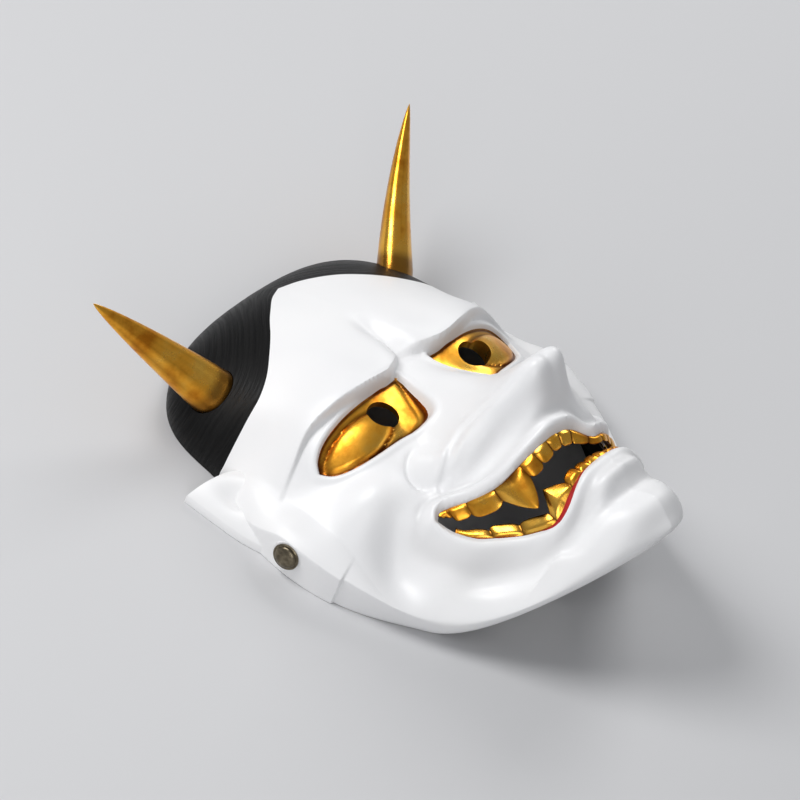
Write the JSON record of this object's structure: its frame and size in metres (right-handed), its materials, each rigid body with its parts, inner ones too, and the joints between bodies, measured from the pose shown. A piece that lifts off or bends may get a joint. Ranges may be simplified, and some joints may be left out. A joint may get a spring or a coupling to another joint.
{
  "type": "hannya mask",
  "caption": "Horned demon face mask: hollow white cast face with gold horns, eyes and bared fangs, black hair cap, ears and a snap rivet in each side plate.",
  "frame": {"origin": "under the middle of the bounding box, on the plane the rim rests on", "axes": "+X to the wearer's left, +Y from the chin to the crown, +Z out of the face"},
  "size_m": [0.2032, 0.2246, 0.1026],
  "materials": {
    "face_white": "white satin paint on cast resin, with black hair and gold eyes and teeth painted on the same cast",
    "gold": "metallic gold paint on cast resin",
    "rivet_bronze": "antique bronze snap rivet"
  },
  "bodies": {
    "root": {"mask_shell": "face_white", "horn_left": "gold", "horn_right": "gold", "rivet_left": "rivet_bronze", "rivet_right": "rivet_bronze"}
  },
  "joints": []
}
